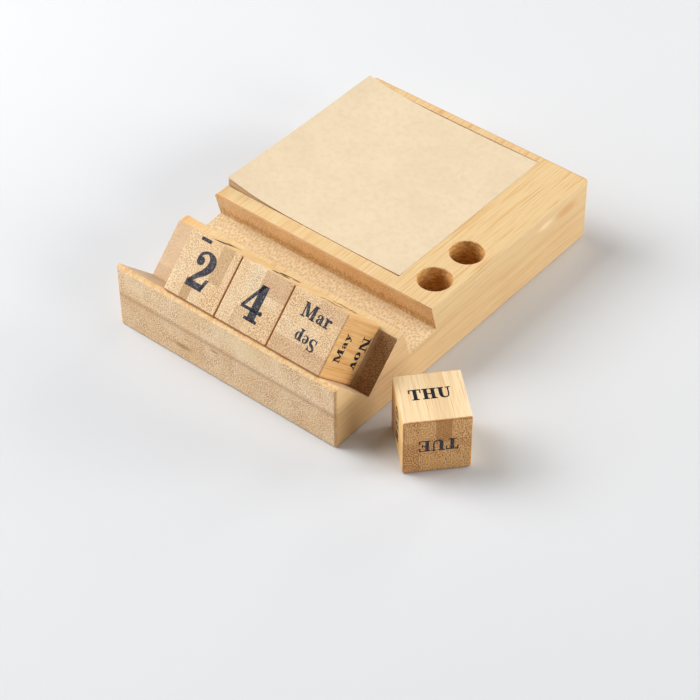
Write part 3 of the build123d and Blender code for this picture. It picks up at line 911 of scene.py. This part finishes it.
def finish_mesh(mesh, name, material):
    """The mesh as a piece with a material slot; only its near-level faces are smooth."""
    data = bpy.data.meshes.new(name)
    bmesh.ops.recalc_face_normals(mesh, faces=mesh.faces)
    mesh.to_mesh(data)
    mesh.free()
    for polygon in data.polygons:
        polygon.use_smooth = abs(polygon.normal.z) > 0.6
    data.materials.append(material)
    piece = bpy.data.objects.new(name, data)
    scene.collection.objects.link(piece)
    return piece


rng = random.Random(12)
LEAVES = 42
LEAF_FILL = 0.85  # the paper's share of a leaf's pitch
LIFTED_EDGE = 2.5 * MM  # how far the lifted left edge stands above the flat pad
UNDER_TOP_SHEET = 0.2  # room left for the top sheet, in mm
pad = bmesh.new()
left, right = stack_low.x, stack_high.x
floor_z = stack_low.z
for i in range(LEAVES):
    share = (i + 1) / LEAVES
    rng.uniform(-0.16, 0.05)  # keeps the order of draws
    lift = rng.uniform(-0.3, 0.3)
    x_range = (left + rng.uniform(0.0, 0.35) * MM, right)
    y_range = (stack_low.y + rng.uniform(0.0, 0.2) * MM, stack_high.y - rng.uniform(0.0, 0.2) * MM)

    def sheet_height(x, y, share=share, lift=lift):
        along = (x - left) / MM
        full = deck_top + (rise(along) - UNDER_TOP_SHEET) * MM - floor_z
        spring = max(0.0, 1 - along / 30) ** 2
        step = full / LEAVES
        return floor_z + full * share + lift * spring * step

    thick = (stack_high.z - LIFTED_EDGE - floor_z) / LEAVES * LEAF_FILL
    leaf(pad, x_range, y_range, sheet_height, thick, 26, 3)
stack = finish_mesh(pad, "memo_sheets", PAPER)
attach(stack, "memo_pad")
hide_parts("memo_stack")

top = bmesh.new()


def top_height(x, y):
    along = (x - note_low.x) / MM
    across = (y - note_low.y) / (note_high.y - note_low.y)
    corner = max(0.0, 1 - along / 34) ** 2
    wave = 0.12 * math.sin(across * 7.0 + 0.6) * corner
    curl = 0.6 * corner * max(0.0, 1 - across * 2) ** 2
    return deck_top + (rise(along) + (wave + curl)) * MM


def top_slip(x):
    """The sheet lies slightly askew, more so towards the gummed edge."""
    share = (x - note_low.x) / (note_high.x - note_low.x)
    return (0.2 * share ** 3 - 0.05) * MM


TOP_THICK, OVER_GUM = 0.12 * MM, 0.66 * MM
leaf(top, (note_low.x, note_high.x + OVER_GUM), (note_low.y, note_high.y), top_height, TOP_THICK, 80, 24,
     slip=top_slip)
note = finish_mesh(top, "top_sheet", TOP_PAPER)
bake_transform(note)
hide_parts("top_note")
dress(nodes["memo_card"], kraft("backing_card", colour(150, 122, 90), colour(132, 104, 74), False))
gum = Graph("gum")
gum_where = gum.millimetres(gum.node("ShaderNodeTexCoord").outputs["Object"])
gum_lumps = gum.noise(gum_where, 0.8, 4.0, 0.6)
gum.put(gum.shader.inputs["Base Color"], gum.mix(gum_lumps, colour(222, 212, 184), colour(240, 234, 214)))
gum.put(gum.shader.inputs["Roughness"], gum.ramp(gum_lumps, 0.3, 0.7, 0.35, 0.55))
gum.bump(gum_lumps, 0.4, 0.0002)
dress(nodes["memo_gum"], gum.material)


# ------------------------------------------------------------- floor and light
def floor_material():
    g = Graph("floor")
    where = g.node("ShaderNodeTexCoord").outputs["Object"]
    cloud = g.noise(where, 3.0, 2.0)
    g.put(g.shader.inputs["Base Color"], g.mix(cloud, colour(213, 215, 218), colour(216, 218, 221)))
    g.shader.inputs["Roughness"].default_value = 0.75
    g.shader.inputs["Specular IOR Level"].default_value = 0.15
    return g.material


bpy.ops.mesh.primitive_plane_add(size=6.0, location=(0, 0, -0.0001))
floor = bpy.context.object
floor.name = "floor"
dress(floor, floor_material())

world = bpy.data.worlds.new("studio")
world.use_nodes = True
world.node_tree.nodes["Background"].inputs["Color"].default_value = (0.97, 0.98, 1.0, 1.0)
world.node_tree.nodes["Background"].inputs["Strength"].default_value = 0.06
scene.world = world
scene.view_settings.view_transform = "Standard"


AIM = Vector((0.01, -0.01, 0.01))
LAMP_DISTANCE = 1.2


def softbox(name, azimuth, elevation, size, power, tint):
    """A rectangular area light aimed at the block's middle."""
    light = bpy.data.lights.new(name, "AREA")
    light.shape = "RECTANGLE"
    light.size, light.size_y = size
    light.energy = power
    light.color = tint
    lamp = bpy.data.objects.new(name, light)
    turn, lift = math.radians(azimuth), math.radians(elevation)
    towards = Vector((math.cos(lift) * math.cos(turn), math.cos(lift) * math.sin(turn), math.sin(lift)))
    lamp.location = AIM + towards * LAMP_DISTANCE
    lamp.rotation_euler = towards.to_track_quat("Z", "Y").to_euler()
    lamp.visible_camera = False
    scene.collection.objects.link(lamp)


KEY_TINT, FILL_TINT = (0.995, 0.997, 1.0), (1.0, 0.965, 0.92)
softbox("key", 203, 35, (0.8, 0.45), 11.0, KEY_TINT)
softbox("key_high", 192, 56, (0.6, 0.45), 5.8, KEY_TINT)
softbox("key_low", 222, 16, (0.8, 0.35), 3.4, KEY_TINT)
softbox("back_fill", 45, 18, (0.6, 0.5), 9.6, FILL_TINT)
softbox("back_edge", 92, 17, (0.45, 0.4), 3.1, FILL_TINT)
softbox("side_fill", 0, 23, (0.5, 0.5), 4.3, FILL_TINT)
softbox("overhead", 45, 68, (0.6, 0.6), 1.1, FILL_TINT)

# ---------------------------------------------------------------------- camera
AZIMUTH, ELEVATION, ROLL = 39.79, 42.88, -0.33
LENS, SENSOR = 117.24, 36
TARGET = Vector((0.0225, -0.0315, 0.0))
DISTANCE = 0.8045
azimuth, elevation = math.radians(AZIMUTH), math.radians(ELEVATION)
back = Vector((
    math.sin(azimuth) * math.cos(elevation),
    -math.cos(azimuth) * math.cos(elevation),
    math.sin(elevation),
))
side = Vector((math.cos(azimuth), math.sin(azimuth), 0))
above = back.cross(side)
axes = Matrix((side, above, back)).transposed() @ Matrix.Rotation(math.radians(ROLL), 3, "Z")
camera = bpy.data.objects.new("camera", bpy.data.cameras.new("camera"))
camera.data.lens = LENS
camera.data.sensor_width = SENSOR
camera.matrix_world = Matrix.Translation(TARGET + back * DISTANCE) @ axes.to_4x4()
scene.collection.objects.link(camera)
scene.camera = camera
